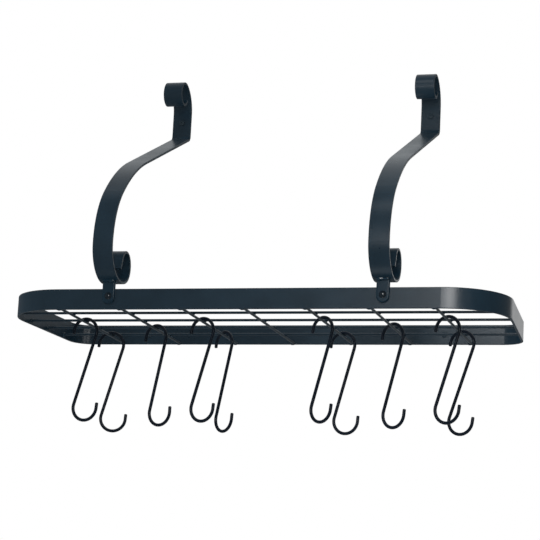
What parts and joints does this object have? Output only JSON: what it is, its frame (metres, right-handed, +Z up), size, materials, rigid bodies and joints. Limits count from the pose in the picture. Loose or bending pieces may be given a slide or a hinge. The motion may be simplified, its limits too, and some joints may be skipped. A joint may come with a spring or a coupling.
{
  "type": "wall-mounted pot rack",
  "caption": "Wall-mounted pot rack: flat-bar ring with a welded wire grid, two scrolled arms bolted to its front and S-hooks that swing on the crossbars.",
  "frame": {"origin": "on the wall plane, midway between the screw holes of the two arms", "axes": "+X to the right along the rack, +Y into the wall, +Z up"},
  "size_m": [0.6152, 0.2732, 0.4689],
  "materials": {
    "rack_coat": "satin blue-black powder coat on steel",
    "hook_coat": "satin black coat on round steel wire",
    "fastener_coat": "black-coated steel screws and nuts"
  },
  "bodies": {
    "rack": {"shelf_ring": "rack_coat", "crossbar_1": "rack_coat", "crossbar_2": "rack_coat", "crossbar_3": "rack_coat", "crossbar_4": "rack_coat", "crossbar_5": "rack_coat", "crossbar_6": "rack_coat", "crossbar_7": "rack_coat", "long_wire_1": "rack_coat", "long_wire_2": "rack_coat", "long_wire_3": "rack_coat", "long_wire_4": "rack_coat", "left_arm": "rack_coat", "left_tab": "rack_coat", "right_arm": "rack_coat", "right_tab": "rack_coat", "tab_bolts": "fastener_coat", "tab_nuts": "fastener_coat"},
    "hook_01": {"hook_01": "hook_coat"},
    "hook_02": {"hook_02": "hook_coat"},
    "hook_03": {"hook_03": "hook_coat"},
    "hook_04": {"hook_04": "hook_coat"},
    "hook_05": {"hook_05": "hook_coat"},
    "hook_06": {"hook_06": "hook_coat"},
    "hook_07": {"hook_07": "hook_coat"},
    "hook_08": {"hook_08": "hook_coat"},
    "hook_09": {"hook_09": "hook_coat"},
    "hook_10": {"hook_10": "hook_coat"}
  },
  "joints": [
    {"name": "hook_01_swing", "type": "hinge", "parent": "rack", "child": "hook_01", "pos_m": [-0.2295, -0.15, -0.29657], "axis": [0, 1, 0], "range_deg": [-30, 30]},
    {"name": "hook_02_swing", "type": "hinge", "parent": "rack", "child": "hook_02", "pos_m": [-0.2295, -0.0546, -0.29657], "axis": [0, 1, 0], "range_deg": [-30, 30]},
    {"name": "hook_03_swing", "type": "hinge", "parent": "rack", "child": "hook_03", "pos_m": [-0.153, -0.1042, -0.29657], "axis": [0, 1, 0], "range_deg": [-30, 30]},
    {"name": "hook_04_swing", "type": "hinge", "parent": "rack", "child": "hook_04", "pos_m": [-0.0765, -0.152, -0.29657], "axis": [0, 1, 0], "range_deg": [-30, 30]},
    {"name": "hook_05_swing", "type": "hinge", "parent": "rack", "child": "hook_05", "pos_m": [-0.0765, -0.0592, -0.29657], "axis": [0, 1, 0], "range_deg": [-30, 30]},
    {"name": "hook_06_swing", "type": "hinge", "parent": "rack", "child": "hook_06", "pos_m": [0.0765, -0.1573, -0.29657], "axis": [0, 1, 0], "range_deg": [-30, 30]},
    {"name": "hook_07_swing", "type": "hinge", "parent": "rack", "child": "hook_07", "pos_m": [0.0765, -0.0544, -0.29657], "axis": [0, 1, 0], "range_deg": [-30, 30]},
    {"name": "hook_08_swing", "type": "hinge", "parent": "rack", "child": "hook_08", "pos_m": [0.153, -0.114, -0.29657], "axis": [0, 1, 0], "range_deg": [-30, 30]},
    {"name": "hook_09_swing", "type": "hinge", "parent": "rack", "child": "hook_09", "pos_m": [0.2295, -0.1609, -0.29657], "axis": [0, 1, 0], "range_deg": [-30, 30]},
    {"name": "hook_10_swing", "type": "hinge", "parent": "rack", "child": "hook_10", "pos_m": [0.2295, -0.0644, -0.29657], "axis": [0, 1, 0], "range_deg": [-30, 30]}
  ]
}
